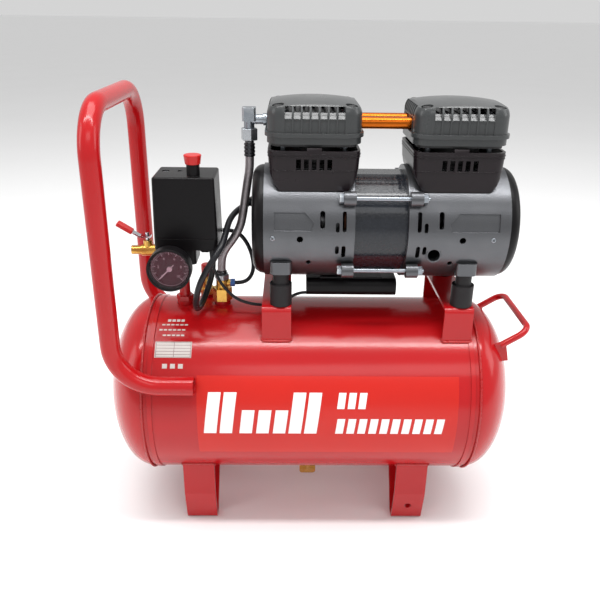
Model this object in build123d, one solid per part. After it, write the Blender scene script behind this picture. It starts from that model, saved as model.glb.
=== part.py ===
from build123d import *
import math
import os

os.makedirs("parts", exist_ok=True)

# Portable twin-cylinder oil-free air compressor on a small horizontal receiver.
# Working frame while modelling: X along the tank, Y to the rear, Z up, origin at the tank's centre.
# Every part is moved to the floor frame (origin under the middle of the footprint) when it is written.

# Tank
TANK_R = 90.0
TANK_WALL = 2.2
SHELL_HALF = 160.6
DOME_DEPTH = 44.6
AXIS_HEIGHT = 138.0

# Carry handle, a bent tube along the left end
HANDLE_D = 18.0
HANDLE_WALL = 1.6
HANDLE_X = -184.0
HANDLE_Y = 88.6
HANDLE_LOW_Z = 43.0
HANDLE_TOP_Z = 293.0
HANDLE_TAIL_X = -110.0
HANDLE_BEND_LOW = 42.0
HANDLE_BEND_TOP = 40.0

# Pull handle, a round bar at the right end
PULL_D = 6.5
PULL_Y = 46.0
PULL_ROOT = (186.0, 66.0)
PULL_TIP = (212.5, 83.0)
PULL_BEND = 12.0

# Feet and saddles, bent from flat bar
STRAP = 3.0
FOOT_W = 32.0
FOOT_X = (-113.6, 105.8)
FOOT_HOLE_D = 7.0
SADDLE_W = 28.0
SADDLE_X = (-34.0, 140.0)
SADDLE_Y = 51.5
SADDLE_TOP = 108.0

# Pump
PUMP_Z = 179.0
HOUSING_R = 54.0
HOUSING_WALL = 3.5
LEFT_OUT, LEFT_IN = -46.0, 37.0
RIGHT_IN, RIGHT_OUT = 85.5, 178.0
HEAD_X = (-0.8, 128.8)
CAP_LEN = 11.0
STATOR_R = 49.0
STATOR_BORE = 27.5
ROTOR_R = 27.0
SHAFT_R = 6.0
CRANK_THROW = 7.0
ECCENTRIC_R = 9.0
BORE_R = 22.5
LINER_R = 25.5
TOWER_HALF = 33.0
TOWER_TOP = 236.0
SHROUD_TOP = 252.8
PLATE_Z = 256.0
PLATE_T = 3.5
HEAD_HALF = 38.0
HEAD_TOP = 283.0
BOLT_OFFSET = 27.5
COVER_BASE = 258.5
COVER_TOP = 295.5
COVER_HALF = 42.0
CROWN_R = 230.0
LOUVRE_PITCH, LOUVRE_W = 7.7, 6.0
RECESS_AT = 32.0
TUBE_Z = 273.7
TUBE_Y = 13.0
TUBE_R = 5.4
ROD_Y, ROD_DZ = 50.0, 34.0
ROD_R = 2.0
# Vents in the housing's sides, from its inner edge: distance, height, width and length, then round holes
HOUSING_SLOTS = [
    (29.4, 193.5, 4.4, 15.5),
    (15.8, 187.0, 3.4, 9.0),
    (9.6, 192.0, 3.6, 18.0),
    (15.8, 165.3, 3.4, 8.2),
    (9.8, 163.6, 3.6, 12.0),
]
HOUSING_HOLES = [(49.7, 175.8, 2.9), (41.5, 151.5, 2.2)]
CABLE_PORT = (110.3, 161.0)
MOUNT_X = (-30.0, 143.0)
MOUNT_Y = 42.0
LUG_Z = 140.0

# Controls
CHECK_X = -90.0
ELBOW_X = -60.0
RISER_X = -128.0
SAFETY_XY = (-108.0, 22.0)
SWITCH_X0, SWITCH_X1 = -148.0, -89.0
SWITCH_Y0, SWITCH_Y1 = -38.0, 12.0
SWITCH_BASE_Z, SWITCH_SEAM_Z, SWITCH_TOP_Z = 159.0, 170.0, 227.0
KNOB_XY = (-110.0, -26.0)
GAUGE_C = (-130.0, 150.5)
GAUGE_R = 20.0
GAUGE_FRONT, GAUGE_BACK = -70.0, -56.0
VALVE_Y, VALVE_Z = -8.0, 149.0
VALVE_STEM_X = -160.0

# Hose and leads: diameter, then the points of the route
HOSE_D = 8.2
HOSE_ROUTE = [(-60, 0, 240), (-60, 0, 229.5), (-62.6, 0, 215), (-65.3, 0, 198), (-67.4, 0, 184),
              (-70.3, 0, 171), (-77, 0, 159), (-86.3, 0, 147), (-90, 0, 136.3), (-90, 0, 125)]
MOTOR_LEAD_D = 6.0
MOTOR_LEAD_ROUTE = [(-62, 28, 188), (-69.5, 19.5, 185.5), (-75.5, 9.5, 183), (-79.5, -2, 180),
                    (-81.5, -14.5, 176), (-82.5, -28, 171), (-85, -41, 164), (-92, -49.5, 154.5),
                    (-100, -52.5, 142), (-106.5, -51.5, 128), (-110.5, -47, 112.6), (-112, -37, 98.9),
                    (-110.5, -21, 93.9), (-107, -5, 99), (-102.5, 4, 111), (-99.5, 5, 124), (-99, 5, 137),
                    (-99, 5, 150)]
UNLOADER_D = 4.0
UNLOADER_ROUTE = [(-77, 0, 112), (-69, 0, 112), (-61.5, 2, 116.5), (-58, 5, 126), (-59.5, 8, 138),
                  (-64, 10, 150), (-71, 11, 159.5), (-79.5, 11, 164), (-89, 11, 164)]
CAP_LEAD_D = 3.0
CAP_LEAD_ROUTE = [(-97, -26, 159), (-97, -26, 148), (-94, -26, 133), (-86, -25.5, 117), (-74, -25, 104.5),
                  (-58, -24, 98.5), (-42, -21, 96.8), (-28, -16, 97.2), (-14, -12, 106.8), (-5, -12, 106.8)]

LEFT_EDGE = -SHELL_HALF - DOME_DEPTH
RIGHT_EDGE = PULL_TIP[0] + PULL_D / 2
SHIFT_X = -(LEFT_EDGE + RIGHT_EDGE) / 2

NODES = {}


def keep(name, *shapes):
    """Move the solids to the floor frame and write them as one node."""
    moved = []
    for shape in shapes:
        for solid in shape.solids():
            moved.append(solid.moved(Location((SHIFT_X, 0, AXIS_HEIGHT))))
    NODES[name] = moved
    body = moved[0] if len(moved) == 1 else Compound(moved)
    export_step(body, f"parts/{name}.step")


def block(x0, x1, y0, y1, z0, z1):
    centre = Pos((x0 + x1) / 2, (y0 + y1) / 2, (z0 + z1) / 2)
    return centre * Box(x1 - x0, y1 - y0, z1 - z0)


def cyl_x(r, x0, x1, y=0.0, z=0.0):
    return Pos((x0 + x1) / 2, y, z) * Rot(0, 90, 0) * Cylinder(r, abs(x1 - x0))


def cyl_y(r, y0, y1, x=0.0, z=0.0):
    return Pos(x, (y0 + y1) / 2, z) * Rot(90, 0, 0) * Cylinder(r, abs(y1 - y0))


def cyl_z(r, z0, z1, x=0.0, y=0.0):
    return Pos(x, y, (z0 + z1) / 2) * Cylinder(r, abs(z1 - z0))


def hex_z(flats, z0, z1, x=0.0, y=0.0):
    face = Pos(x, y, z0) * RegularPolygon(flats / 2, 6, major_radius=False)
    return extrude(face, z1 - z0)


def hex_x(flats, x0, x1, y=0.0, z=0.0):
    face = Plane(origin=(x0, y, z), z_dir=(1, 0, 0)) * RegularPolygon(flats / 2, 6, major_radius=False)
    return extrude(face, x1 - x0)


def rounded_block(half_x, half_y, corner, z0, z1, x=0.0, y=0.0, taper=0.0):
    face = Pos(x, y, z0) * RectangleRounded(2 * half_x, 2 * half_y, corner)
    return extrude(face, z1 - z0, taper=taper)


def run_length(a, b):
    return math.dist(a, b)


def route_radii(points):
    """The bend at each inner point: 0.45 of the shorter run over the tangent of half the turn."""
    radii = []
    for a, b, c in zip(points, points[1:], points[2:]):
        u = [(q - p) / run_length(a, b) for p, q in zip(a, b)]
        v = [(q - p) / run_length(b, c) for p, q in zip(b, c)]
        turn = math.acos(max(-1.0, min(1.0, sum(p * q for p, q in zip(u, v)))))
        shorter = min(run_length(a, b), run_length(b, c))
        radii.append(0.45 * shorter / math.tan(turn / 2))
    return radii


def cord(name, points, diameter):
    radii = route_radii(points)
    path = FilletPolyline(*points, radius=radii)
    section = Plane(origin=path @ 0, z_dir=path % 0) * Circle(diameter / 2)
    tube = sweep(section, path=path)
    ideal = math.pi * (diameter / 2) ** 2 * path.length
    tight = min(radii)
    print(f"{name}: length {path.length:.1f} mm, tightest bend {tight:.1f} mm ({tight / diameter:.1f} d), "
          f"volume ratio {tube.volume / ideal:.4f}")
    keep(name, tube)


def bent_strap(points, radii, width, thickness=STRAP):
    path = FilletPolyline(*points, radius=radii)
    section = Plane(origin=path @ 0, x_dir=(1, 0, 0), z_dir=path % 0) * Rectangle(width, thickness)
    return sweep(section, path=path)


# ---------------------------------------------------------------- tank

def build_tank():
    shell = cyl_x(TANK_R, -SHELL_HALF, SHELL_HALF)
    for side in (-1, 1):
        shell += cyl_x(TANK_R + 1.2, side * (SHELL_HALF - 9), side * (SHELL_HALF - 4.5))
    shell -= cyl_x(TANK_R - TANK_WALL, -SHELL_HALF - 1, SHELL_HALF + 1)
    for x, y, r in ((CHECK_X, 0, 8.3), (RISER_X, 0, 8.3), (SAFETY_XY[0], SAFETY_XY[1], 7.3)):
        shell -= cyl_z(r, 60, 100, x, y)
    shell -= cyl_z(8.3, -100, -60, 0, 0)
    keep("tank_shell", shell)

    x0 = SHELL_HALF
    outer = Pos(x0, 0) * Ellipse(DOME_DEPTH, TANK_R)
    inner = Pos(x0, 0) * Ellipse(DOME_DEPTH - TANK_WALL, TANK_R - TANK_WALL)
    quarter = Pos(x0 + 30, 50) * Rectangle(60, 100)
    skirt = Pos(x0 - 3, 86.3) * Rectangle(12, 2.2)
    step = Pos(x0 + 1.5, 87.2) * Rectangle(3, 3.6)
    profile = Plane.XZ * (((outer - inner) & quarter) + skirt + step)
    head = revolve(profile, axis=Axis.X)
    keep("right_tank_head", head)
    keep("left_tank_head", mirror(head, about=Plane.YZ))

    bungs = []
    for x in (CHECK_X, RISER_X):
        bungs.append(cyl_z(8.0, 84, 94, x, 0) - cyl_z(4.0, 80, 100, x, 0))
    bungs.append(cyl_z(8.0, -95, -84, 0, 0) - cyl_z(3.3, -100, -80, 0, 0))
    bungs.append(cyl_z(7.0, 82, 92, *SAFETY_XY) - cyl_z(3.5, 80, 100, *SAFETY_XY))
    keep("tank_bungs", *bungs)


def build_handles():
    y, low, top = HANDLE_Y, HANDLE_LOW_Z, HANDLE_TOP_Z
    points = [(HANDLE_TAIL_X, -y, low), (HANDLE_X, -y, low), (HANDLE_X, -y, top),
              (HANDLE_X, y, top), (HANDLE_X, y, low), (HANDLE_TAIL_X, y, low)]
    bends = [HANDLE_BEND_LOW, HANDLE_BEND_TOP, HANDLE_BEND_TOP, HANDLE_BEND_LOW]
    path = FilletPolyline(*points, radius=bends)
    start = Plane(origin=path @ 0, z_dir=path % 0)
    outside = sweep(start * Circle(HANDLE_D / 2), path=path)
    inside = sweep(start * Circle(HANDLE_D / 2 - HANDLE_WALL), path=path)
    keep("carry_handle", outside - inside)

    root, tip = PULL_ROOT, PULL_TIP
    points = [(root[0], -PULL_Y, root[1]), (tip[0], -PULL_Y, tip[1]),
              (tip[0], PULL_Y, tip[1]), (root[0], PULL_Y, root[1])]
    path = FilletPolyline(*points, radius=PULL_BEND)
    bar = sweep(Plane(origin=path @ 0, z_dir=path % 0) * Circle(PULL_D / 2), path=path)
    outline = [(189.0, 49.5), (195.0, 50), (193.5, 57), (191.5, 66), (186.5, 69.2), (179.6, 67), (185.0, 57.5)]
    gusset = Polygon(*outline, align=None)
    for side in (-1, 1):
        upright = Plane(origin=(0, side * PULL_Y, 0), x_dir=(1, 0, 0), z_dir=(0, -1, 0))
        bar += extrude(upright * gusset, 1.6, both=True)
    keep("pull_handle", bar)


def foot_strap(x):
    half = [(65.0, -61.5), (65.0, -99.0), (56.0, -136.5), (46.0, -136.5), (15.0, -91.4)]
    points = [(x, -y, z) for y, z in half] + [(x, y, z) for y, z in reversed(half)]
    bends = [8.0, 3.2, 3.2, 6.0]
    return bent_strap(points, bends + bends[::-1], FOOT_W)


def build_feet_and_saddles():
    keep("left_foot", foot_strap(FOOT_X[0]))
    right = foot_strap(FOOT_X[1])
    for side in (-1, 1):
        slope = math.degrees(math.atan2(37.5, 9.0))
        drill = Cylinder(FOOT_HOLE_D / 2, 12)
        right -= Pos(FOOT_X[1], side * 60.5, -117.75) * Rot(side * slope, 0, 0) * drill
    keep("right_foot", right)

    saddles = []
    y, top = SADDLE_Y, SADDLE_TOP - STRAP / 2
    for x, mount_x in zip(SADDLE_X, MOUNT_X):
        strap = bent_strap([(x, -y, 73.6), (x, -y, top), (x, y, top), (x, y, 73.6)], [4.0, 4.0], SADDLE_W)
        for side in (-1, 1):
            strap -= cyl_z(3.3, 100, 112, mount_x, side * MOUNT_Y)
        saddles.append(strap)
    keep("saddles", *saddles)

    mounts = []
    bolts = []
    for x in MOUNT_X:
        for side in (-1, 1):
            y = side * MOUNT_Y
            rubber = cyl_z(10.4, SADDLE_TOP, 129, x, y) + cyl_z(7.6, 129, LUG_Z, x, y)
            mounts.append(rubber - cyl_z(3.3, 100, 150, x, y))
            bolts.append(cyl_z(3.0, 103, 146.3, x, y) + hex_z(10, 100.5, 105, x, y))
    keep("rubber_mounts", *mounts)
    keep("mount_bolts", *bolts)


def build_drain():
    body = cyl_z(3.0, -96, -84) + hex_z(14, -104, -95.2) + cyl_z(5, -110, -104)
    body += cyl_x(2.6, 0, 13, 0, -99.5)
    body -= cyl_z(2.3, -111, -98)
    keep("drain_valve", body)
    key = cyl_z(2.0, -116, -99) + block(-9, 9, -1.1, 1.1, -122, -112.5)
    keep("drain_key", fillet(key.edges().filter_by(Axis.Y).group_by(Axis.Z)[0], 3.0))


# ---------------------------------------------------------------- pump

def housing(out_x, in_x, head_x, mount_x):
    s = 1 if in_x > out_x else -1
    web0, web1 = in_x - s * 17, in_x - s * 11
    body = cyl_x(HOUSING_R, out_x, in_x, 0, PUMP_Z)
    tower = rounded_block(TOWER_HALF, TOWER_HALF, 6, PUMP_Z, TOWER_TOP, head_x)
    body += tower
    for side in (-1, 1):
        y = side * MOUNT_Y
        lug = block(mount_x - 10, mount_x + 10, y - 9, y + 9, LUG_Z, LUG_Z + 12)
        body += fillet(lug.edges().filter_by(Axis.Z), 5.0)
        for up in (-1, 1):
            body += cyl_x(6.6, in_x - s * 11, in_x, side * ROD_Y, PUMP_Z + up * ROD_DZ)
    body -= cyl_x(HOUSING_R - HOUSING_WALL, out_x - s, web0, 0, PUMP_Z)
    body -= cyl_x(46.0, web1, in_x + s, 0, PUMP_Z)
    body += cyl_x(18.0, web0 - s * 3, web1 + s * 1, 0, PUMP_Z)
    body -= cyl_x(14.03, web0 - s * 4, web1 - s * 1, 0, PUMP_Z)
    body -= cyl_x(8.0, web0 - s * 5, web1 + s * 3, 0, PUMP_Z)
    body -= cyl_z(LINER_R + 0.3, PUMP_Z + 38, TOWER_TOP + 1, head_x)
    for sx in (-1, 1):
        for sy in (-1, 1):
            body -= cyl_z(2.8, 222, TOWER_TOP + 1, head_x + sx * BOLT_OFFSET, sy * BOLT_OFFSET)
    for side in (-1, 1):
        body -= cyl_z(8.0, LUG_Z - 20, LUG_Z, mount_x, side * MOUNT_Y)
        body -= cyl_z(3.3, LUG_Z - 1, 146.8, mount_x, side * MOUNT_Y)
        for up in (-1, 1):
            body -= cyl_x(2.3, in_x - s * 20, in_x + s, side * ROD_Y, PUMP_Z + up * ROD_DZ)
        y0, y1 = sorted((side * 40, side * 60))
        face = []
        for dx, z, width, height in HOUSING_SLOTS:
            face.append(Pos(in_x - s * dx, z) * SlotOverall(height, width, rotation=90))
        for dx, z, radius in HOUSING_HOLES:
            face.append(Pos(in_x - s * dx, z) * Circle(radius))
        for shape in face:
            body -= extrude(Plane.XZ * shape, 60, both=True) & block(-80, 220, y0, y1, 100, 240)
        tip = [(in_x - s * 45.5, 199.5), (in_x - s * 37, 190.5), (in_x - s * 39.5, 183.5)]
        panel = Polygon((out_x + s * 10, 199.5), *tip, (out_x + s * 10, 183.5), align=None)
        pocket = extrude(Plane.XZ * panel, 60, both=True) & block(-80, 220, y0, y1, 100, 240)
        body -= pocket - cyl_x(HOUSING_R - 1.7, -80, 220, 0, PUMP_Z)
    vents = []
    for angle in range(0, 360, 45):
        vents.append(Pos(0, 0, PUMP_Z) * Rot(angle + 22.5, 0, 0) * block(web0 - 8, web0 + 8, -5, 5, 26, 40))
    for vent in vents:
        body -= vent
    return body


def end_cap(out_x, s):
    tip = out_x + s * CAP_LEN
    outer = cyl_x(52.5, out_x, tip, 0, PUMP_Z)
    rim = outer.edges().filter_by(GeomType.CIRCLE).sort_by(Axis.X)
    outer = fillet(rim[-1] if s > 0 else rim[0], 10.0)
    outer -= cyl_x(47.5, out_x - s, tip - s * 2.5, 0, PUMP_Z)
    for k in range(12):
        slot = block(min(tip, tip - s * 6), max(tip, tip - s * 6) + 1, -2.0, 2.0, 16, 38)
        outer -= Pos(0, 0, PUMP_Z) * Rot(k * 30, 0, 0) * Pos(-0.5, 0, 0) * slot
    return outer


def build_motor():
    keep("left_housing", housing(LEFT_OUT, LEFT_IN, HEAD_X[0], MOUNT_X[0]))
    x, z = CABLE_PORT
    port = cyl_y(7.0, -52.4, -40, x, z) - cyl_x(HOUSING_R - HOUSING_WALL, 80, 180, 0, PUMP_Z)
    right = housing(RIGHT_OUT, RIGHT_IN, HEAD_X[1], MOUNT_X[1])
    keep("right_housing", right + port - cyl_y(5.6, -60, -35, x, z))
    exit_point, next_point = Vector(*MOTOR_LEAD_ROUTE[0]), Vector(*MOTOR_LEAD_ROUTE[1])
    inward = (exit_point - next_point).normalized()
    grommet = extrude(Plane(origin=exit_point, z_dir=inward) * Circle(4.6), 10.5)
    keep("end_caps", end_cap(LEFT_OUT, -1) + grommet, end_cap(RIGHT_OUT, 1))

    core = cyl_x(STATOR_R, LEFT_IN, RIGHT_IN, 0, PUMP_Z)
    core -= cyl_x(STATOR_BORE, LEFT_IN - 1, RIGHT_IN + 1, 0, PUMP_Z)
    core &= block(LEFT_IN - 1, RIGHT_IN + 1, -60, 60, PUMP_Z - 47.6, PUMP_Z + 47.6)
    coils = cyl_x(43, LEFT_IN - 9, LEFT_IN - 0.4, 0, PUMP_Z)
    coils += cyl_x(43, RIGHT_IN + 0.4, RIGHT_IN + 9, 0, PUMP_Z)
    coils -= cyl_x(31, LEFT_IN - 20, RIGHT_IN + 20, 0, PUMP_Z)
    for k in range(12):
        turn = Pos(0, 0, PUMP_Z) * Rot(k * 30 + 15, 0, 0)
        core -= turn * block(LEFT_IN - 1, RIGHT_IN + 1, -2.9, 2.9, 31, 43)
        coils += turn * block(LEFT_IN - 1, RIGHT_IN + 1, -2.5, 2.5, 31.5, 42.5)
    keep("stator_core", core)
    keep("windings", coils)

    shaft = cyl_x(SHAFT_R, LEFT_OUT - 8.0, RIGHT_OUT + 8.0, 0, PUMP_Z)
    for x, s in ((HEAD_X[0], 1), (HEAD_X[1], -1)):
        shaft += cyl_x(ECCENTRIC_R, x - 7, x + 7, CRANK_THROW, PUMP_Z)
        web = cyl_x(20, x + s * 8, x + s * 13, 0, PUMP_Z)
        shaft += web & block(x - 20, x + 20, -22, 5, PUMP_Z - 22, PUMP_Z + 22)
    keep("crankshaft", shaft)
    rotor = cyl_x(ROTOR_R, LEFT_IN + 1, RIGHT_IN - 1, 0, PUMP_Z) - cyl_x(SHAFT_R + 0.02, 0, 120, 0, PUMP_Z)
    keep("rotor", rotor)

    bearings = []
    for x in (LEFT_IN - 16.5, RIGHT_IN + 8.5 + 4):
        ring = cyl_x(14.0, x - 0.0, x + 4.0, 0, PUMP_Z)
        bearings.append(ring - cyl_x(SHAFT_R + 0.03, x - 1, x + 6, 0, PUMP_Z))
    keep("main_bearings", *bearings)

    fans = []
    for x in (LEFT_OUT - 7.5, RIGHT_OUT - 2.5):
        fan = cyl_x(11, x, x + 10, 0, PUMP_Z)
        for k in range(9):
            blade = Pos(x + 5, 0, 23.5) * Rot(0, 0, 32) * Box(1.6, 9, 31)
            fan += Pos(0, 0, PUMP_Z) * Rot(k * 40, 0, 0) * blade
        fans.append(fan - cyl_x(SHAFT_R + 0.02, x - 1, x + 12, 0, PUMP_Z))
    keep("cooling_fans", *fans)

    rods = []
    for side in (-1, 1):
        for up in (-1, 1):
            y, z = side * ROD_Y, PUMP_Z + up * ROD_DZ
            rod = cyl_x(ROD_R, LEFT_IN - 15, RIGHT_IN + 17, y, z)
            rod += hex_x(8, LEFT_IN - 15, LEFT_IN - 11, y, z)
            rod += hex_x(8, RIGHT_IN + 11, RIGHT_IN + 15.5, y, z)
            rods.append(rod)
    keep("tie_rods", *rods)


def piston(x):
    ring_in = ECCENTRIC_R + 2 * CRANK_THROW + 0.4
    body = cyl_x(ring_in + 4.2, x - 6, x + 6, 0, PUMP_Z)
    body += block(x - 4, x + 4, -6, 6, PUMP_Z + ring_in, 235)
    body -= cyl_x(ring_in, x - 7, x + 7, 0, PUMP_Z)
    body += cyl_z(BORE_R - 0.1, 234, 240, x)
    body += cyl_z(BORE_R - 3.0, 240, 242, x)
    return body


def shroud(x):
    """The air guide round a cylinder: it narrows downwards and sits over the housing."""
    depth = SHROUD_TOP - 205
    outer = extrude(Pos(x, 0, SHROUD_TOP) * RectangleRounded(82.6, 83.8, 10), -depth, taper=3.6)
    inner = extrude(Pos(x, 0, SHROUD_TOP) * RectangleRounded(77.6, 78.8, 8), -depth, taper=3.6)
    body = outer
    for z, half in ((249.2, 41.6), (246.8, 41.4), (234.8, 40.7)):
        body += rounded_block(half, half + 0.6, 10, z, z + 0.9, x)
    body -= inner
    shape = Pos(x, 208.5 + 40) * RectangleRounded(79.0, 80, 30) + Pos(x, 262) * Rectangle(90, 52)
    body &= extrude(Plane.XZ * shape, 50, both=True)
    body -= cyl_x(HOUSING_R + 0.5, x - 60, x + 60, 0, PUMP_Z)
    for side in (-1, 1):
        y0, y1 = sorted((side * 39.6, side * 41.9))
        body += block(x - 6.5, x + 6.5, y0, y1, 249, 255.6)
    return body - [block(x + k * 6.9 - 2.1, x + k * 6.9 + 2.1, -45, 45, 236, 245.5) for k in range(-2, 3)]


def build_cylinders():
    keep("left_piston", piston(HEAD_X[0]))
    keep("right_piston", piston(HEAD_X[1]))

    liners = []
    shrouds = []
    plates = []
    heads = []
    bolts = []
    for index, x in enumerate(HEAD_X):
        liner = cyl_z(LINER_R, 222, PLATE_Z, x) + cyl_z(30.0, TOWER_TOP, TOWER_TOP + 3, x)
        liners.append(liner - cyl_z(BORE_R, 220, 260, x))

        shrouds.append(shroud(x))

        plate = rounded_block(HEAD_HALF, HEAD_HALF, 8, PLATE_Z, PLATE_Z + PLATE_T, x)
        head = rounded_block(HEAD_HALF, HEAD_HALF, 8, PLATE_Z + PLATE_T, HEAD_TOP, x)
        head -= block(x - 22, x + 22, -8, 33, PLATE_Z, 279)
        head -= block(x - 22, x + 22, -33, -11, PLATE_Z, 279)
        inner = 1 if index == 0 else -1
        for side in (-1, 1):
            head -= cyl_x(TUBE_R + 0.05, x + inner * 20, x + inner * 40, side * TUBE_Y, TUBE_Z)
        if index == 0:
            head -= cyl_x(4.55, x - 40, x - 20, 0, TUBE_Z)
        for sx in (-1, 1):
            for sy in (-1, 1):
                bx, by = x + sx * BOLT_OFFSET, sy * BOLT_OFFSET
                plate -= cyl_z(2.8, PLATE_Z - 1, 262, bx, by)
                head -= cyl_z(2.8, PLATE_Z, 290, bx, by)
                bolts.append(cyl_z(2.5, 223, HEAD_TOP, bx, by) + hex_z(8, HEAD_TOP, HEAD_TOP + 4, bx, by))
        for vx, vy in ((-9, -15), (9, -15), (-9, 10), (9, 10)):
            plate -= cyl_z(2.2, PLATE_Z - 1, 262, x + vx, vy)
        for k in range(-3, 4):
            groove = block(x + k * 9 - 1.5, x + k * 9 + 1.5, -HEAD_HALF - 1, HEAD_HALF + 1, 280.2, 284)
            head -= groove
        plates.append(plate)
        heads.append(head)
    keep("cylinder_liners", *liners)
    keep("cylinder_shrouds", *shrouds)
    keep("valve_plates", *plates)
    keep("cylinder_heads", *heads)
    keep("head_bolts", *bolts)

    tubes = []
    for side in (-1, 1):
        span = (HEAD_X[0] + HEAD_HALF - 6, HEAD_X[1] - HEAD_HALF + 6)
        tube = cyl_x(TUBE_R, *span, side * TUBE_Y, TUBE_Z)
        tubes.append(tube - cyl_x(TUBE_R - 1.2, span[0] - 1, span[1] + 1, side * TUBE_Y, TUBE_Z))
    keep("transfer_tubes", *tubes)


def head_cover(index):
    """A domed cover with seven louvres under the crown on each side and a screw recess at each corner."""
    x = HEAD_X[index]
    body = rounded_block(COVER_HALF, COVER_HALF, 15, COVER_BASE, COVER_TOP, x)
    body = fillet(body.edges().group_by(Axis.Z)[-1], 13.0)
    body &= Pos(x, 0, COVER_TOP - CROWN_R) * Sphere(CROWN_R)
    body += rounded_block(44.0, 44.0, 17, 264.5, 268.0, x)
    cavity = rounded_block(39.4, 39.4, 12.5, COVER_BASE - 1, 283.3, x)
    upper = rounded_block(37.2, 37.2, 11, 283.3, 290.6, x)
    cavity += fillet(upper.edges().group_by(Axis.Z)[-1], 6.0)
    recesses = []
    for sx in (-1, 1):
        for sy in (-1, 1):
            rx, ry = x + sx * RECESS_AT, sy * RECESS_AT
            cavity -= cyl_z(7.0, 287.5, 292, rx, ry)
            recesses.append(cyl_z(5.3, 288.9, 300, rx, ry))
    body -= cavity
    slope = [(-47, 280.4), (-41.9, 280.4), (-37.4, 285.6), (-33, 285.6), (-33, 290.6), (-47, 290.6)]
    opening = Polygon(*slope, align=None)
    panel = Polygon((-47, 268.0), (-41.3, 268.0), (-41.3, 279.9), (-47, 279.9), align=None)
    cuts = []
    for turn in range(4):
        for k in range(-3, 4):
            for outline in (opening, panel):
                cut = extrude(Plane.YZ * outline, LOUVRE_W / 2, both=True)
                cuts.append(Pos(x, 0, 0) * Rot(0, 0, turn * 90) * Pos(k * LOUVRE_PITCH, 0, 0) * cut)
    inner = 1 if index == 0 else -1
    for side in (-1, 1):
        cuts.append(cyl_x(TUBE_R + 0.6, x + inner * 30, x + inner * 50, side * TUBE_Y, TUBE_Z))
    if index == 0:
        cuts.append(cyl_x(6.0, x - 50, x - 30, 0, TUBE_Z))
    return body - recesses - cuts


def build_covers_and_capacitor():
    keep("head_covers", head_cover(0), head_cover(1))

    can = block(-5, 84, -17, 17, 104.5, 122.0)
    can = fillet(can.edges().filter_by(Axis.X), 7.0)
    keep("capacitor", can)
    bracket = block(8, 70, -12, 12, 122.0, 123.6) + block(12, 26, -5, 5, 123.6, 126.5)
    keep("capacitor_bracket", bracket - cyl_x(HOUSING_R + 0.02, 0, 80, 0, PUMP_Z))


# ---------------------------------------------------------------- fittings and controls

def build_air_line():
    valve = hex_z(17, 94, 107, CHECK_X) + cyl_z(6.0, 107, 116, CHECK_X)
    valve += cyl_z(3.7, 85, 94, CHECK_X) + cyl_x(3.4, CHECK_X + 4, CHECK_X + 8.5, 0, 112)
    keep("check_valve", valve)
    collar = cyl_x(3.9, CHECK_X + 8.5, CHECK_X + 13, 0, 112)
    keep("unloader_collar", collar)

    body = block(ELBOW_X - 6.2, ELBOW_X + 6.2, -6.2, 6.2, 272.5, 284.5)
    body = fillet(body.edges().filter_by(Axis.Z), 2.0)
    elbow = body + cyl_z(4.8, 266, 273, ELBOW_X) + cyl_x(4.5, ELBOW_X, -33, 0, TUBE_Z)
    elbow += cyl_x(5.6, -47, -43.6, 0, TUBE_Z)
    keep("elbow_fitting", elbow)
    top = hex_z(13.6, 254.6, 266, ELBOW_X) + cyl_z(4.2, 252, 255, ELBOW_X) + cyl_z(5.2, 240, 252, ELBOW_X)
    low = hex_z(13, 116, 122, CHECK_X) + cyl_z(5.2, 122, 125, CHECK_X)
    keep("hose_fittings", top, low)
    cord("discharge_hose", HOSE_ROUTE, HOSE_D)
    cord("unloader_tube", UNLOADER_ROUTE, UNLOADER_D)

    riser = cyl_z(5.5, 94, 139, RISER_X) + hex_z(15, 94, 99, RISER_X) + cyl_z(3.7, 86, 94, RISER_X)
    keep("riser_pipe", riser - cyl_z(2.5, 80, 145, RISER_X))
    manifold = rounded_block(17, 17, 4, 139, 159, -129, -5)
    manifold -= cyl_z(2.5, 138, 150, RISER_X)
    manifold -= cyl_x(2.2, -150, -128, VALVE_Y, VALVE_Z)
    manifold -= cyl_y(2.2, -25, -8, GAUGE_C[0], GAUGE_C[1])
    keep("manifold", manifold)

    x, y = SAFETY_XY
    safety = hex_z(14, 92, 98, x, y) + cyl_z(5.0, 98, 112, x, y) + cyl_z(3.2, 86, 92, x, y)
    safety -= cyl_z(2.4, 96, 113, x, y)
    keep("safety_valve", safety)
    cap = cyl_z(2.0, 99, 116, x, y) + cyl_z(5.6, 112.3, 124, x, y)
    keep("safety_cap", fillet(cap.edges().group_by(Axis.Z)[-1], 1.5))


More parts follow.
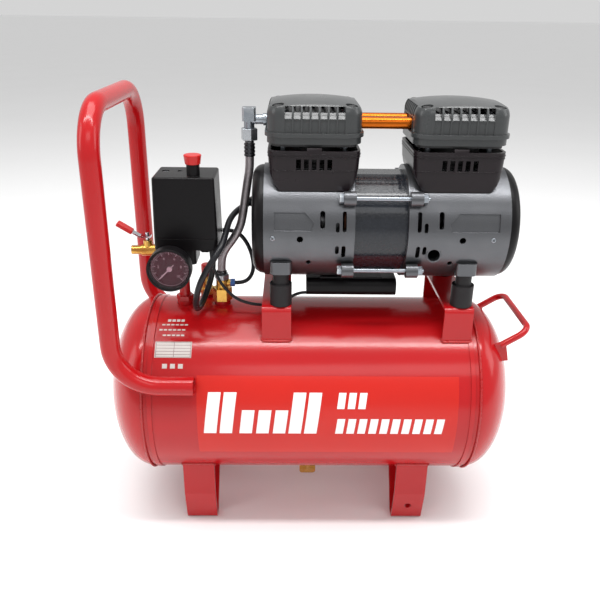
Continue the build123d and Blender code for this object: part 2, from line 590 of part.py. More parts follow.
def build_switch():
    cx = (SWITCH_X0 + SWITCH_X1) / 2
    cy = (SWITCH_Y0 + SWITCH_Y1) / 2
    half_x = (SWITCH_X1 - SWITCH_X0) / 2
    half_y = (SWITCH_Y1 - SWITCH_Y0) / 2
    base = rounded_block(half_x, half_y, 4, SWITCH_BASE_Z, SWITCH_SEAM_Z - 0.3, cx, cy)
    base -= rounded_block(half_x - 3, half_y - 3, 3, SWITCH_BASE_Z + 3, SWITCH_SEAM_Z, cx, cy)
    keep("switch_base", base)

    cover = rounded_block(half_x, half_y, 4, SWITCH_SEAM_Z, SWITCH_TOP_Z, cx, cy, taper=1.4)
    cover = fillet(cover.edges().group_by(Axis.Z)[-1], 2.2)
    inner_x, inner_y = half_x - 2.5, half_y - 2.5
    cover -= rounded_block(inner_x, inner_y, 3, SWITCH_SEAM_Z - 1, SWITCH_TOP_Z - 3, cx, cy, taper=1.4)
    cover += cyl_z(6.0, SWITCH_TOP_Z - 3, 237.5, *KNOB_XY)
    cover -= cyl_z(3.8, SWITCH_TOP_Z - 8, 240, *KNOB_XY)
    cover -= cyl_z(3.5, SWITCH_TOP_Z - 1.6, SWITCH_TOP_Z + 1, -138, -8)
    cover -= Pos(0, 0, SWITCH_TOP_Z - 1.6) * extrude(Pos(-125, -8, 0) * RegularPolygon(3.6, 3), 3)
    keep("switch_cover", cover)

    works = block(-142, -96, -30, 4, 162.2, 165) + block(-140, -122, -28, 2, 165, 188)
    works += block(-120, -98, -20, 2, 165, 182) + cyl_z(5.5, 165, 205, -131, -10)
    for k in range(3):
        works += cyl_z(2.2, 182, 186, -116 + k * 7, -12)
    keep("switch_mechanism", works)

    knob = cyl_z(3.5, 200, 239, *KNOB_XY) + Pos(*KNOB_XY, 241.9) * Cone(7.0, 8.2, 8.4)
    knob = fillet(knob.edges().group_by(Axis.Z)[-1], 1.0)
    keep("switch_knob", knob)

    glands = []
    for x, y in ((-99.0, 5.0), (-103.5, -12.0)):
        glands.append(hex_z(10.5, 150, SWITCH_BASE_Z, x, y))
    keep("cable_glands", *glands)
    cord("motor_lead", MOTOR_LEAD_ROUTE, MOTOR_LEAD_D)
    cord("capacitor_lead", CAP_LEAD_ROUTE, CAP_LEAD_D)


def build_gauge():
    x, z = GAUGE_C
    case = cyl_y(GAUGE_R, GAUGE_FRONT, GAUGE_BACK, x, z)
    case = fillet(case.edges().filter_by(GeomType.CIRCLE).sort_by(Axis.Y)[-1], 3.0)
    case -= cyl_y(GAUGE_R - 2.0, GAUGE_FRONT - 1, GAUGE_BACK - 3.0, x, z)
    case += cyl_y(4.5, GAUGE_BACK - 1, -22, x, z)
    keep("gauge_case", case)
    dial = cyl_y(GAUGE_R - 2.3, GAUGE_BACK - 8.0, GAUGE_BACK - 6.8, x, z) - cyl_y(1.3, -70, -50, x, z)
    dial += cyl_y(3.0, GAUGE_BACK - 6.8, GAUGE_BACK - 3.0, x, z) - cyl_y(1.3, -70, -50, x, z)
    keep("gauge_dial", dial)
    needle = Pos(x, GAUGE_BACK - 9.3, z) * Rot(0, -135, 0) * Pos(0, 0, 4.0) * Box(1.1, 0.5, 19.0)
    needle += cyl_y(2.4, GAUGE_BACK - 10.2, GAUGE_BACK - 8.6, x, z)
    needle += cyl_y(1.0, GAUGE_BACK - 9, GAUGE_BACK - 5, x, z)
    keep("gauge_needle", needle)
    keep("gauge_lens", cyl_y(GAUGE_R - 2.3, GAUGE_FRONT + 0.8, GAUGE_FRONT + 2.0, x, z))


def build_outlet():
    y, z = VALVE_Y, VALVE_Z
    body = cyl_x(5.6, -166, -146, y, z) + hex_x(13, -150, -146, y, z) + cyl_x(4.4, -176, -166, y, z)
    body += cyl_z(4.2, z, z + 10, VALVE_STEM_X, y)
    body -= cyl_x(2.2, -180, -140, y, z)
    body -= Pos(VALVE_STEM_X, y, z) * Sphere(4.0)
    body -= cyl_z(2.0, z, z + 12, VALVE_STEM_X, y)
    keep("outlet_valve", body)
    ball = Pos(VALVE_STEM_X, y, z) * Sphere(3.7) - cyl_x(2.2, -170, -150, y, z)
    ball += cyl_z(1.7, z + 2.9, z + 18, VALVE_STEM_X, y)
    keep("valve_ball", ball)

    path = FilletPolyline((-156.5, y, 163), (-167, y, 163), (-186.5, y, 175.0), radius=5.0)
    lever = sweep(Plane(origin=path @ 0, x_dir=(0, 1, 0), z_dir=path % 0) * Rectangle(7, 1.6), path=path)
    lever -= cyl_z(1.72, 150, 175, VALVE_STEM_X, y)
    keep("valve_lever", lever)
    lift = math.degrees(math.atan2(12.0, 19.5))
    sleeve = Pos(-181, y, 171.6) * Rot(0, lift, 0) * Box(17, 9.4, 4.2)
    sleeve = fillet(sleeve.edges(), 1.2)
    keep("lever_grip", sleeve - lever)


build_tank()
build_handles()
build_feet_and_saddles()
build_drain()
build_motor()
build_cylinders()
build_covers_and_capacitor()
build_air_line()
build_switch()
build_gauge()
build_outlet()

print(len(NODES), "nodes")
for node, solids in NODES.items():
    box = Compound(solids).bounding_box()
    print(f"{node:18s} {len(solids)} x {box.min.X:8.1f} {box.max.X:8.1f}  y {box.min.Y:7.1f} {box.max.Y:7.1f}"
          f"  z {box.min.Z:7.1f} {box.max.Z:7.1f}")
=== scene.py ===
import math

import bmesh
import bpy
from mathutils import Matrix, Vector


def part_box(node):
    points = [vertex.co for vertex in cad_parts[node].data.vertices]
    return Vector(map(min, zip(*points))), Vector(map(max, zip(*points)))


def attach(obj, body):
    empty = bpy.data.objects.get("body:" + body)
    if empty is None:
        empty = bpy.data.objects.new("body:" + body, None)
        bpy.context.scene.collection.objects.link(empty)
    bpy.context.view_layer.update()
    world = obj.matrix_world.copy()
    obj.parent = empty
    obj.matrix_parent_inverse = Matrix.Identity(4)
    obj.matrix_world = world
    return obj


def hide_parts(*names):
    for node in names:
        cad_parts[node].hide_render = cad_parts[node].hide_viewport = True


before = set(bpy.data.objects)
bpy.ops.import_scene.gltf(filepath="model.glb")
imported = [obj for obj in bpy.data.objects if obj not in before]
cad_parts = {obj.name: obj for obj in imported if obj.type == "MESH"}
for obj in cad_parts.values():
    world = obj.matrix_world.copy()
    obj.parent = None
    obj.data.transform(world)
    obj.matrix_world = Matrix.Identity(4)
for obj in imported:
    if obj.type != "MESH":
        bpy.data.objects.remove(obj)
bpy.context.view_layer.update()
MM = 0.001
shell_lo, shell_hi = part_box("tank_shell")
AXIS_X = (shell_lo[0] + shell_hi[0]) / 2
AXIS_Z = (shell_lo[2] + shell_hi[2]) / 2
ROOT = "receiver"
PUMP_Z = 179.0
TANK_R = 90.0


def at(x, y, z):
    """A point given in mm from the tank's centre, in metres from the floor origin."""
    return Vector((AXIS_X + x * MM, y * MM, AXIS_Z + z * MM))


# ---------------------------------------------------------------- materials

def surface(name, base, second=None, rough=(0.3, 0.4), metal=0.0, scale=30.0, bump=0.05, bump_scale=400.0,
            coat=0.0, bands=None, alpha=1.0, edge=None, soften=0.4, shine=0.5):
    """A procedural material: colour and roughness drift with a soft noise, fine grain in the bump."""
    m = bpy.data.materials.new(name)
    m.use_nodes = True
    nodes, links = m.node_tree.nodes, m.node_tree.links
    shader = nodes["Principled BSDF"]
    shader.inputs["Metallic"].default_value = metal
    if coat:
        shader.inputs["Coat Weight"].default_value = coat
        shader.inputs["Coat Roughness"].default_value = 0.08
    shader.inputs["Alpha"].default_value = alpha
    where = nodes.new("ShaderNodeTexCoord")
    soft = nodes.new("ShaderNodeTexNoise")
    soft.inputs["Scale"].default_value = scale
    soft.inputs["Detail"].default_value = 5.0
    links.new(where.outputs["Object"], soft.inputs["Vector"])
    mix = nodes.new("ShaderNodeMix")
    mix.data_type = "RGBA"
    second = second or tuple(c * 0.8 for c in base)
    mix.inputs["A"].default_value = (*base, 1)
    mix.inputs["B"].default_value = (*second, 1)
    links.new(soft.outputs["Fac"], mix.inputs["Factor"])
    colour = mix.outputs["Result"]
    if edge:
        geometry = nodes.new("ShaderNodeNewGeometry")
        ramp = nodes.new("ShaderNodeMapRange")
        ramp.inputs["From Min"].default_value = 0.56
        ramp.inputs["From Max"].default_value = 0.72
        links.new(geometry.outputs["Pointiness"], ramp.inputs["Value"])
        wear = nodes.new("ShaderNodeMix")
        wear.data_type = "RGBA"
        wear.inputs["B"].default_value = (*edge, 1)
        links.new(ramp.outputs["Result"], wear.inputs["Factor"])
        links.new(colour, wear.inputs["A"])
        colour = wear.outputs["Result"]
    links.new(colour, shader.inputs["Base Color"])
    ramp = nodes.new("ShaderNodeMapRange")
    ramp.inputs["To Min"].default_value = rough[0]
    ramp.inputs["To Max"].default_value = rough[1]
    links.new(soft.outputs["Fac"], ramp.inputs["Value"])
    links.new(ramp.outputs["Result"], shader.inputs["Roughness"])
    grain = nodes.new("ShaderNodeTexNoise")
    grain.inputs["Scale"].default_value = bump_scale
    grain.inputs["Detail"].default_value = 3.0
    links.new(where.outputs["Object"], grain.inputs["Vector"])
    height = grain.outputs["Fac"]
    if bands:
        axis, per_mm, depth = bands
        wave = nodes.new("ShaderNodeTexWave")
        wave.bands_direction = axis
        wave.inputs["Scale"].default_value = per_mm * 1000 / (2 * math.pi) * 0.314
        wave.inputs["Distortion"].default_value = 0.3
        links.new(where.outputs["Object"], wave.inputs["Vector"])
        blend = nodes.new("ShaderNodeMix")
        blend.inputs["Factor"].default_value = depth
        links.new(height, blend.inputs["A"])
        links.new(wave.outputs["Fac"], blend.inputs["B"])
        height = blend.outputs["Result"]
    relief = nodes.new("ShaderNodeBump")
    relief.inputs["Strength"].default_value = bump
    relief.inputs["Distance"].default_value = 0.001
    if soften:
        bevel = nodes.new("ShaderNodeBevel")
        bevel.samples = 4
        bevel.inputs["Radius"].default_value = soften * MM
        links.new(bevel.outputs["Normal"], relief.inputs["Normal"])
    links.new(height, relief.inputs["Height"])
    links.new(relief.outputs["Normal"], shader.inputs["Normal"])
    shader.inputs["Specular IOR Level"].default_value = shine
    return m


RED = surface("red_enamel", (0.45, 0.0055, 0.008), (0.37, 0.0045, 0.0065), (0.15, 0.24), scale=14,
              bump=0.05, bump_scale=240, coat=0.12, soften=0.8, shine=0.34)
RED_FILM = surface("red_film", (0.56, 0.016, 0.009), (0.50, 0.013, 0.008), (0.20, 0.28), scale=20,
                   bump=0.03, shine=0.34)
WHITE_FILM = surface("white_film", (0.86, 0.85, 0.85), (0.78, 0.77, 0.77), (0.3, 0.4), scale=60,
                     bump=0.02)
GREY_FILM = surface("grey_film", (0.60, 0.55, 0.52), (0.50, 0.46, 0.43), (0.3, 0.4), scale=60,
                    bump=0.02)
INK = surface("dark_ink", (0.16, 0.05, 0.05), (0.12, 0.04, 0.04), (0.4, 0.5), scale=60, bump=0.02)
WELD = surface("painted_weld", (0.42, 0.007, 0.008), (0.33, 0.005, 0.006), (0.22, 0.36), scale=220,
               bump=0.6, bump_scale=700)
CAST = surface("cast_aluminium", (0.125, 0.128, 0.136), (0.095, 0.097, 0.104), (0.26, 0.38), metal=0.85,
               scale=45, bump=0.14, bump_scale=900, soften=0.7)
IRON = surface("dark_iron", (0.020, 0.019, 0.020), (0.012, 0.011, 0.012), (0.35, 0.5), metal=0.4,
               scale=80, bump=0.1)
ALLOY = surface("machined_alloy", (0.55, 0.55, 0.57), (0.45, 0.45, 0.47), (0.25, 0.4), metal=1.0,
                scale=80, bump=0.05)
# Plain black: the cover screws' own colour, and painted shade where it stands in for the dark gap over the
# valve plates and for the screws' cross recesses.
BLACK_AND_SHADE = surface("black_and_painted_shade", (0.020, 0.020, 0.021), (0.012, 0.012, 0.013), (0.5, 0.7), scale=80,
                 bump=0.1)
GOLD = surface("orange_anodised", (0.50, 0.115, 0.006), (0.36, 0.075, 0.005), (0.18, 0.26), metal=0.9,
               scale=60, bump=0.02)
BLACK = surface("black_moulding", (0.0055, 0.0048, 0.0055), (0.0035, 0.003, 0.0035), (0.28, 0.40),
                scale=50, bump=0.10, bump_scale=1400, soften=0.8, shine=0.16)
COVER = surface("cover_moulding", (0.046, 0.049, 0.050), (0.030, 0.032, 0.033), (0.24, 0.34), scale=40,
                bump=0.10, bump_scale=1200, coat=0.2, edge=(0.16, 0.17, 0.17), soften=0.6, shine=0.35)
# The red tint in the shroud's dark base colour is a painted reflection of the red receiver, not the
# moulding's own colour.
SHROUD_RED_REFLECTION = surface("shroud_moulding_red_reflection", (0.0125, 0.008, 0.010), (0.008, 0.005, 0.0065), (0.24, 0.34),
                 scale=40, bump=0.06, bump_scale=1200, edge=(0.07, 0.06, 0.065), soften=0.5, shine=0.25)
RED_PLASTIC = surface("red_moulding", (0.52, 0.010, 0.009), (0.44, 0.008, 0.007), (0.24, 0.34),
                      scale=60, bump=0.04, shine=0.35)
RUBBER = surface("mount_rubber", (0.010, 0.009, 0.010), (0.017, 0.015, 0.016), (0.42, 0.6), scale=60,
                 bump=0.15, bump_scale=1500, soften=1.0, shine=0.25)
CABLE = surface("cable_sheath", (0.009, 0.009, 0.011), (0.016, 0.016, 0.019), (0.22, 0.36), scale=90,
                bump=0.08, bump_scale=1200, soften=0, shine=0.25)
BRAID = surface("steel_braid", (0.40, 0.37, 0.38), (0.22, 0.20, 0.21), (0.28, 0.45), metal=0.9,
                scale=300, bump=0.2, bump_scale=2500, edge=(0.66, 0.64, 0.65), soften=0)
CRIMP = surface("crimped_ferrule", (0.055, 0.055, 0.06), (0.03, 0.03, 0.034), (0.22, 0.36), metal=0.8,
                scale=120, bump=0.08, edge=(0.5, 0.5, 0.5))
BLUE = surface("blue_collar", (0.02, 0.10, 0.34), None, (0.25, 0.35), scale=80)
ZINC = surface("zinc_plate", (0.33, 0.36, 0.39), (0.23, 0.25, 0.28), (0.22, 0.36), metal=0.95,
               scale=120, bump=0.10, bump_scale=900, edge=(0.7, 0.72, 0.74), soften=0.5)
STEEL = surface("machined_steel", (0.42, 0.42, 0.44), (0.34, 0.34, 0.36), (0.25, 0.4), metal=1.0,
                scale=90, bump=0.05)
LAMINATION = surface("stator_enamel", (0.008, 0.010, 0.014), (0.014, 0.016, 0.022), (0.20, 0.34),
                     scale=160, bump=0.5, bump_scale=420, coat=0.4, bands=("X", 1.1, 0.25), soften=0,
                     shine=0.25)
COPPER = surface("winding_copper", (0.09, 0.03, 0.012), (0.06, 0.02, 0.008), (0.25, 0.4), metal=0.8,
                 scale=200, bump=0.4, bump_scale=900)
BRASS = surface("turned_brass", (0.70, 0.42, 0.10), (0.55, 0.31, 0.07), (0.20, 0.34), metal=1.0,
                scale=110, bump=0.05, edge=(0.95, 0.74, 0.36))
CHROME = surface("bright_chrome", (0.62, 0.63, 0.66), (0.52, 0.53, 0.57), (0.08, 0.16), metal=1.0,
                 scale=80, bump=0.02)
DIAL = surface("printed_dial", (0.060, 0.004, 0.014), (0.046, 0.003, 0.011), (0.45, 0.55), scale=90,
               bump=0.03, shine=0.1)
PALE = surface("pale_print", (0.46, 0.26, 0.32), (0.40, 0.22, 0.27), (0.4, 0.5), scale=90, bump=0.02)
GLASS = surface("gauge_glass", (0.5, 0.45, 0.46), (0.5, 0.45, 0.46), (0.03, 0.06), scale=90, bump=0.0,
                alpha=0.03, shine=0.2)

LOOKS = {
    RED: ["tank_shell", "left_tank_head", "right_tank_head", "tank_bungs", "carry_handle",
          "pull_handle", "left_foot", "right_foot", "saddles", "riser_pipe"],
    CAST: ["left_housing", "right_housing", "cylinder_heads"],
    ALLOY: ["left_piston", "right_piston"],
    IRON: ["cylinder_liners"],
    # The valve plates are coloured black as painted shade for the gap between cover and shroud.
    BLACK_AND_SHADE: ["valve_plates"],
    BLACK: ["end_caps", "cooling_fans", "manifold", "switch_base", "switch_cover", "cable_glands",
            "gauge_case", "capacitor", "capacitor_bracket"],
    COVER: ["head_covers"],
    SHROUD_RED_REFLECTION: ["cylinder_shrouds"],
    GOLD: ["transfer_tubes"],
    RED_PLASTIC: ["switch_knob", "lever_grip", "safety_cap"],
    RUBBER: ["rubber_mounts"],
    BLUE: ["unloader_collar"],
    ZINC: ["mount_bolts", "tie_rods", "head_bolts", "elbow_fitting", "hose_fittings"],
    STEEL: ["crankshaft", "rotor", "main_bearings", "switch_mechanism"],
    LAMINATION: ["stator_core"],
    COPPER: ["windings"],
    BRASS: ["drain_valve", "drain_key", "check_valve", "safety_valve", "outlet_valve"],
    CHROME: ["valve_ball", "valve_lever"],
    DIAL: ["gauge_dial"],
    PALE: ["gauge_needle"],
    GLASS: ["gauge_lens"],
}


def dress_frame():
    for material, names in LOOKS.items():
        for name in names:
            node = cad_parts[name]
            node.data.materials.clear()
            node.data.materials.append(material)


# ---------------------------------------------------------------- pieces

def piece(name, mesh, materials, body=ROOT, replaces=(), smooth=True):
    ob = bpy.data.objects.new(name, mesh)
    bpy.context.scene.collection.objects.link(ob)
    for material in materials if isinstance(materials, (list, tuple)) else [materials]:
        mesh.materials.append(material)
    if smooth:
        for face in mesh.polygons:
            face.use_smooth = True
    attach(ob, body)
    if replaces:
        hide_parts(*replaces)
    return ob


def to_mesh(bm, name):
    bmesh.ops.recalc_face_normals(bm, faces=bm.faces[:])
    mesh = bpy.data.meshes.new(name)
    bm.to_mesh(mesh)
    bm.free()
    return mesh


def route_curve(name, points, diameter):
    curve = bpy.data.curves.new(name, "CURVE")
    curve.dimensions = "3D"
    spline = curve.splines.new("NURBS")
    spline.points.add(len(points) - 1)
    for control, point in zip(spline.points, points):
        control.co = (*at(*point), 1)
    spline.order_u = 3
    spline.use_endpoint_u = True
    spline.resolution_u = 12
    curve.bevel_depth = diameter * MM / 2
    curve.bevel_resolution = 8
    curve.use_fill_caps = True
    return curve


def route_length(curve):
    depth, curve.bevel_depth = curve.bevel_depth, 0.0
    ob = bpy.data.objects.new("probe", curve)
    mesh = bpy.data.meshes.new_from_object(ob)
    points = [v.co.copy() for v in mesh.vertices]
    bpy.data.objects.remove(ob)
    bpy.data.meshes.remove(mesh)
    curve.bevel_depth = depth
    return points, sum((b - a).length for a, b in zip(points, points[1:]))


HOSE = [(-60, 0, 240), (-60, 0, 229.5), (-62.6, 0, 215), (-65.3, 0, 198), (-67.4, 0, 184),
        (-70.3, 0, 171), (-77, 0, 159), (-86.3, 0, 147), (-90, 0, 136.3), (-90, 0, 125)]
MOTOR_LEAD = [(-62, 28, 188), (-69.5, 19.5, 185.5), (-75.5, 9.5, 183), (-79.5, -2, 180),
              (-81.5, -14.5, 176), (-82.5, -28, 171), (-85, -41, 164), (-92, -49.5, 154.5),
              (-100, -52.5, 142), (-106.5, -51.5, 128), (-110.5, -47, 112.6), (-112, -37, 98.9),
              (-110.5, -21, 93.9), (-107, -5, 99), (-102.5, 4, 111), (-99.5, 5, 124), (-99, 5, 137),
              (-99, 5, 150)]
UNLOADER = [(-77, 0, 112), (-69, 0, 112), (-61.5, 2, 116.5), (-58, 5, 126), (-59.5, 8, 138),
            (-64, 10, 150), (-71, 11, 159.5), (-79.5, 11, 164), (-89, 11, 164)]
CAP_LEAD = [(-97, -26, 159), (-97, -26, 148), (-94, -26, 133), (-86, -25.5, 117), (-74, -25, 104.5),
            (-58, -24, 98.5), (-42, -21, 96.8), (-28, -16, 97.2), (-14, -12, 106.8), (-5, -12, 106.8)]


def plain_cord(name, points, diameter, node):
    curve = route_curve(name, points, diameter)
    _, length = route_length(curve)
    curve.materials.append(CABLE)
    ob = bpy.data.objects.new(name, curve)
    bpy.context.scene.collection.objects.link(ob)
    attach(ob, ROOT)
    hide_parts(node)
    return ob


def tube_frames(points):
    """Points with a side and an up direction each, carried along without twist."""
    frames = []
    side = Vector((0, 1, 0))
    for i, point in enumerate(points):
        ahead = points[min(i + 1, len(points) - 1)] - points[max(i - 1, 0)]
        ahead.normalize()
        side = (side - ahead * side.dot(ahead)).normalized()
        frames.append((point, side.copy(), ahead.cross(side)))
    return frames


def resample(points, step):
    out = [points[0].copy()]
    left = step
    for a, b in zip(points, points[1:]):
        span = (b - a).length
        done = 0.0
        while span - done >= left:
            done += left
            out.append(a.lerp(b, done / span))
            left = step
        left -= span - done
    out[-1] = points[-1].copy()
    return out


def braided_hose():
    diameter = 8.2
    curve = route_curve("hose_route", HOSE, diameter)
    points, length = route_length(curve)
    line = resample(points, 0.45 * MM)
    around = 72
    bm = bmesh.new()
    rings = []
    for i, (centre, side, up) in enumerate(tube_frames(line)):
        travel = i * 0.45
        ring = []
        for k in range(around):
            angle = 2 * math.pi * k / around
            left = math.sin(6 * angle + travel * 1.15)
            right = math.sin(6 * angle - travel * 1.15)
            radius = (diameter / 2 - 0.42 + 0.42 * max(abs(left) ** 0.7, abs(right) ** 0.7)) * MM
            ring.append(bm.verts.new(centre + (side * math.cos(angle) + up * math.sin(angle)) * radius))
        rings.append(ring)
    for a, b in zip(rings, rings[1:]):
        for k in range(around):
            bm.faces.new((a[k], a[(k + 1) % around], b[(k + 1) % around], b[k]))
    bm.faces.new(rings[0][::-1])
    bm.faces.new(rings[-1])
    ob = piece("braided_hose", to_mesh(bm, "braided_hose"), BRAID, replaces=["discharge_hose"])
    bpy.data.curves.remove(curve)


def cords():
    braided_hose()
    plain_cord("motor_lead_sheath", MOTOR_LEAD, 6.0, "motor_lead")
    plain_cord("unloader_line", UNLOADER, 4.0, "unloader_tube")
    plain_cord("capacitor_wire", CAP_LEAD, 3.0, "capacitor_lead")


# ---------------------------------------------------------------- small shapes

def add_tube(bm, points, radius, around=10, ripple=0.0, pitch=2.2):
    """A round bead along points in metres; ripple swells it every pitch mm, as a weld does."""
    rings = []
    travel = 0.0
    for i, (centre, side, up) in enumerate(tube_frames(points)):
        if i:
            travel += (points[i] - points[i - 1]).length / MM
        swell = 1 + ripple * math.cos(2 * math.pi * travel / pitch)
        ring = []
        for k in range(around):
            a = 2 * math.pi * k / around
            ring.append(bm.verts.new(
                centre + (side * math.cos(a) + up * math.sin(a)) * radius * MM * swell))
        rings.append(ring)
    for a, b in zip(rings, rings[1:]):
        for k in range(around):
            bm.faces.new((a[k], a[(k + 1) % around], b[(k + 1) % around], b[k]))
    bm.faces.new(rings[0][::-1])
    bm.faces.new(rings[-1])


def add_rings(bm, rings, material=0):
    made = [[bm.verts.new(p) for p in ring] for ring in rings]
    faces = []
    for a, b in zip(made, made[1:]):
        n = len(a)
        faces += [bm.faces.new((a[k], a[(k + 1) % n], b[(k + 1) % n], b[k])) for k in range(n)]
    faces += [bm.faces.new(made[0][::-1]), bm.faces.new(made[-1])]
    for face in faces:
        face.material_index = material


def lathe(bm, centre, axis, profile, around=40, material=0):
    """Turn (distance along the axis, radius) pairs in mm round an axis through a point."""
    axis = Vector(axis).normalized()
    side = axis.orthogonal().normalized()
    up = axis.cross(side)
    rings = []
    for along, radius in profile:
        middle = centre + axis * along * MM
        rings.append([middle + (side * math.cos(a) + up * math.sin(a)) * radius * MM
                      for a in (2 * math.pi * k / around for k in range(around))])
    add_rings(bm, rings, material)


def hex_nut(bm, centre, axis, flats, length, material=0):
    """A hexagon with both ends chamfered; its corners point along the side direction."""
    corner = flats / math.sqrt(3)
    lathe(bm, centre, axis,
          [(0, corner * 0.86), (0.7, corner), (length - 0.7, corner), (length, corner * 0.86)],
          6, material)


def on_shell(x, angle, lift=0.0):
    """A point on the receiver: x mm along it, angle in degrees from the top towards the front."""
    a = math.radians(angle)
    r = TANK_R + lift
    return at(x, -r * math.sin(a), r * math.cos(a))


def shell_patch(bm, x0, x1, a0, a1, lift, slant=0.0, material=0):
    """A film on the receiver between two angles; slant moves its lower edge along x."""
    nx = max(1, round(abs(x1 - x0) / 6))
    na = max(1, round(abs(a1 - a0) / 1.5))
    grid = []
    for j in range(na + 1):
        t = j / na
        row = [bm.verts.new(on_shell(x0 + (x1 - x0) * i / nx - slant * t, a0 + (a1 - a0) * t, lift))
               for i in range(nx + 1)]
        grid.append(row)
    for a, b in zip(grid, grid[1:]):
        for i in range(nx):
            bm.faces.new((a[i], b[i], b[i + 1], a[i + 1])).material_index = material


# ---------------------------------------------------------------- receiver

def weld_beads():
    bm = bmesh.new()

    def run(points, radius=1.5):
        add_tube(bm, [at(*p) for p in points], radius, ripple=0.16)

    def line(x0, x1, y, z, steps=24):
        return [(x0 + (x1 - x0) * i / steps, y, z) for i in range(steps + 1)]

    for x in (-34.0, 140.0):
        for side in (-1, 1):
            run(line(x - 13.5, x + 13.5, side * 53.4, 72.9))
            for edge in (-14.2, 14.2):
                run([(x + edge, side * (50.4 + 0.26 * i), 75.4 - 0.22 * i) for i in range(11)], 1.2)
    for x in (-113.6, 105.8):
        for side in (-1, 1):
            run(line(x - 15.5, x + 15.5, side * 66.9, -60.6))
            for edge in (-16.2, 16.2):
                run([(x + edge, side * (63.4 + 0.3 * i), -64.4 + 0.36 * i) for i in range(11)], 1.2)
    for side in (-1, 1):
        for angle in (60.1, 68.5):
            run([(x, side * 91.2 * math.sin(math.radians(angle)), 91.2 * math.cos(math.radians(angle)))
                 for x in [-147 + 0.95 * i for i in range(38)]], 1.4)
        r = 91.0
        for x in (-160.9, 160.9):
            if side > 0:
                run([(x, r * math.sin(a), r * math.cos(a)) for a in
                     (2 * math.pi * k / 360 for k in range(361))], 1.0)
    ob = piece("weld_beads", to_mesh(bm, "weld_beads"), WELD)
    return ob


def receiver_film():
    """A brighter film on the front, with plain slanted bars in place of any lettering."""
    bm = bmesh.new()
    shell_patch(bm, -109, 140, 58, 112, 0.16)
    bars = [(-98, -86, 68, 95), (-83, -71, 68, 95), (-66, -54, 79, 95), (-50, -38, 79, 95),
            (-34, -22, 79, 95), (-17, -5, 68, 95), (-2, 10, 68, 95),
            (26, 33, 68, 78), (36, 43, 68, 78), (46, 53, 68, 78)]
    for x0, x1, a0, a1 in bars:
        shell_patch(bm, x0, x1, a0, a1, 0.30, slant=5.0 * (a1 - a0) / 27, material=1)
    for k in range(10):
        shell_patch(bm, 25 + 10.6 * k, 32.4 + 10.6 * k, 84.5, 95, 0.30, slant=2.0, material=1)
    piece("receiver_film", to_mesh(bm, "receiver_film"), [RED_FILM, WHITE_FILM])


def rating_plate():
    """A plain table with ruled lines, and short pale dashes in place of its text."""
    bm = bmesh.new()
    shell_patch(bm, -150, -115, 37.0, 47.4, 0.16)
    for angle in (37.4, 39.4, 41.4, 43.4, 45.4, 47.0):
        shell_patch(bm, -149.2, -115.8, angle - 0.12, angle + 0.12, 0.26, material=1)
    for x in (-149.2, -132.0, -116.1):
        shell_patch(bm, x, x + 0.4, 37.4, 47.0, 0.26, material=1)
    for row, (x0, x1) in enumerate(((-141, -123), (-146, -117), (-148, -118), (-144, -121))):
        a = 20.0 + 4.0 * row
        for k in range(int((x1 - x0) / 4.4)):
            shell_patch(bm, x0 + 4.4 * k, x0 + 4.4 * k + 3.2, a, a + (2.0 if row == 0 else 1.1), 0.16)
    for x in (-142.0, -134.5, -127.0):
        shell_patch(bm, x, x + 4.6, 51.2, 54.0, 0.16)
    piece("rating_plate", to_mesh(bm, "rating_plate"), [GREY_FILM, INK])


# ---------------------------------------------------------------- pump and fittings

def hose_ends():
    bm = bmesh.new()
    up = (0, 0, 1)
    hex_nut(bm, at(-60, 0, 254.6), up, 13.6, 11.4)
    lathe(bm, at(-60, 0, 251.5), up, [(0, 4.2), (3.6, 4.2)], 32, 1)
    crimp = [(0, 4.6), (0.4, 5.2), (1.8, 5.2), (2.3, 4.7), (3.1, 4.7), (3.6, 5.2), (5.2, 5.2), (5.7, 4.7),
             (6.5, 4.7), (7.0, 5.2), (8.8, 5.2), (9.3, 4.7), (10.1, 4.7), (10.6, 5.2), (11.6, 5.2),
             (12.0, 4.8)]
    lathe(bm, at(-60, 0, 240), up, crimp, 40, 1)
    hex_nut(bm, at(-90, 0, 116), up, 13, 6)
    lathe(bm, at(-90, 0, 122), up, [(0, 5.2), (1.4, 5.2), (1.9, 4.8), (2.4, 5.2), (3, 5.0)], 40, 1)
    for face in bm.faces:
        face.smooth = face.material_index == 1
    ob = piece("hose_end_fittings", to_mesh(bm, "hose_end_fittings"), [ZINC, CRIMP],
               replaces=["hose_fittings"], smooth=False)
    return ob


def pan_screw(bm, centre, axis, radius, height, material=0):
    """A pan-head screw with a cross recess made of two sunk bars; the bars take material 1, a black painted
    shade for the recess.
    """
    lathe(bm, centre, axis, [(-0.6, radius), (height * 0.5, radius), (height * 0.85, radius * 0.86),
                             (height, radius * 0.55), (height, radius * 0.2)], 28, material)
    axis = Vector(axis).normalized()
    side = axis.orthogonal().normalized()
    # The recess bars are black painted shade in place of a cut recess.
    for direction in (side, axis.cross(side)):
        across = axis.cross(direction)
        rings = []
        for level in (height - 0.5, height + 0.02):
            c = centre + axis * level * MM
            rings.append([c + (direction * a * 0.62 * radius + across * b * 0.13 * radius) * MM
                          for a, b in ((-1, -1), (1, -1), (1, 1), (-1, 1))])
        add_rings(bm, rings, 1)


def pump_screws():
    bm = bmesh.new()
    for x in (-37.5, 163.0):
        for side in (-1, 1):
            pan_screw(bm, at(x, side * 53.8, 176.5), (0, side, 0), 2.2, 1.1)
    for head_x in (-0.8, 128.8):
        for sx in (-32, 32):
            for sy in (-32, 32):
                pan_screw(bm, at(head_x + sx, sy, 289.2), (0, 0, 1), 4.0, 1.8, 1)
    pan_screw(bm, at(-138, -8, 225.6), (0, 0, 1), 3.0, 1.0)
    piece("cover_screws", to_mesh(bm, "cover_screws"), [ZINC, BLACK_AND_SHADE])


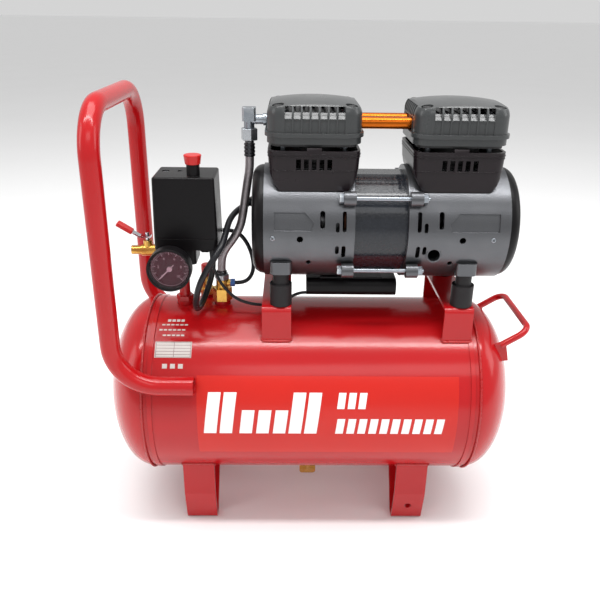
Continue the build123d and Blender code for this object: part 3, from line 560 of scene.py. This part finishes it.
def gauge_face():
    """Ticks and numbers on the dial, over a 270 degree sweep that starts at the lower left."""
    bm = bmesh.new()
    front = -64.12

    def tick(angle, r0, r1, width):
        a = math.radians(angle)
        along = Vector((math.sin(a), 0, math.cos(a)))
        across = Vector((math.cos(a), 0, -math.sin(a)))
        rings = []
        for y in (front + 0.3, front):
            c = at(-130, y, 150.5)
            rings.append([c + (along * r + across * w) * MM for r, w in
                          ((r0, -width), (r1, -width), (r1, width), (r0, width))])
        add_rings(bm, rings)

    for k in range(51):
        angle = -135 + 5.4 * k
        tick(angle, 13.0 if k % 5 == 0 else 14.4, 16.0, 0.30 if k % 5 == 0 else 0.14)
    lathe(bm, at(-130, front + 0.2, 150.5), (0, -1, 0),
          [(0, 16.6), (0.2, 16.6), (0.2, 16.3), (0, 16.3)], 90)
    for k in range(6):
        a = math.radians(-135 + 54 * k)
        text = bpy.data.curves.new("dial_number", "FONT")
        text.body = str(2 * k)
        text.size = 3.6 * MM
        text.align_x, text.align_y = "CENTER", "CENTER"
        text.extrude = 0.08 * MM
        holder = bpy.data.objects.new("dial_number", text)
        numbers = bpy.data.meshes.new_from_object(holder)
        place = at(-130 + 10.4 * math.sin(a), front, 150.5 + 10.4 * math.cos(a))
        numbers.transform(Matrix.Translation(place) @ Matrix.Rotation(math.pi / 2, 4, "X"))
        bm.from_mesh(numbers)
        bpy.data.objects.remove(holder)
        bpy.data.meshes.remove(numbers)
        bpy.data.curves.remove(text)
    piece("gauge_marks", to_mesh(bm, "gauge_marks"), PALE, smooth=False)


# ---------------------------------------------------------------- stage

def stage():
    bm = bmesh.new()
    bmesh.ops.create_grid(bm, x_segments=12, y_segments=12, size=45.0)
    mesh = to_mesh(bm, "studio_floor")
    floor = bpy.data.objects.new("studio_floor", mesh)
    bpy.context.scene.collection.objects.link(floor)
    paper = surface("floor_paper", (0.93, 0.93, 0.93), (0.90, 0.90, 0.90), (0.75, 0.85), scale=3, bump=0.01)
    mesh.materials.append(paper)

    def area(name, place, aim, size, power, colour=(1, 1, 1)):
        light = bpy.data.lights.new(name, "AREA")
        light.shape = "RECTANGLE"
        light.size, light.size_y = size
        light.energy = power
        light.color = colour
        ob = bpy.data.objects.new(name, light)
        ob.location = place
        ob.rotation_euler = (Vector(aim) - Vector(place)).to_track_quat("-Z", "Y").to_euler()
        bpy.context.scene.collection.objects.link(ob)

    area("ceiling", (0.0, 0.1, 1.9), (0, 0, 0.2), (1.6, 0.9), 20)
    area("strip", (0.0, -0.42, 1.75), (0, -0.06, 0.2), (2.4, 0.12), 22)
    area("front", (0.3, -1.5, 1.5), (0, 0, 0.2), (1.2, 0.5), 4)
    area("left", (-1.6, -0.3, 0.9), (0, 0, 0.25), (0.6, 0.9), 4)
    area("right", (1.6, -0.1, 0.9), (0, 0, 0.25), (0.6, 0.9), 4)
    world = bpy.data.worlds.new("studio")
    world.use_nodes = True
    world.node_tree.nodes["Background"].inputs["Color"].default_value = (1, 1, 1, 1)
    world.node_tree.nodes["Background"].inputs["Strength"].default_value = 0.66
    bpy.context.scene.world = world
    bpy.context.scene.view_settings.view_transform = "Standard"


def camera():
    yaw, pitch, roll = math.radians(0.94), math.radians(23.23), math.radians(0.785)
    ahead = Vector((math.sin(yaw) * math.cos(pitch), math.cos(yaw) * math.cos(pitch), -math.sin(pitch)))
    right = Vector((math.cos(yaw), -math.sin(yaw), 0))
    up = right.cross(ahead)
    turned = right * math.cos(roll) + up * math.sin(roll)
    raised = up * math.cos(roll) - right * math.sin(roll)
    data = bpy.data.cameras.new("photo_camera")
    data.sensor_width = 36.0
    data.lens = 40.48
    data.clip_start = 0.01
    ob = bpy.data.objects.new("photo_camera", data)
    turn = Matrix((turned, raised, -ahead)).transposed().to_4x4()
    ob.matrix_world = Matrix.Translation(at(-21.4, -635.6, 366.1)) @ turn
    bpy.context.scene.collection.objects.link(ob)
    bpy.context.scene.camera = ob


dress_frame()
weld_beads()
receiver_film()
rating_plate()
hose_ends()
pump_screws()
gauge_face()
cords()
stage()
camera()
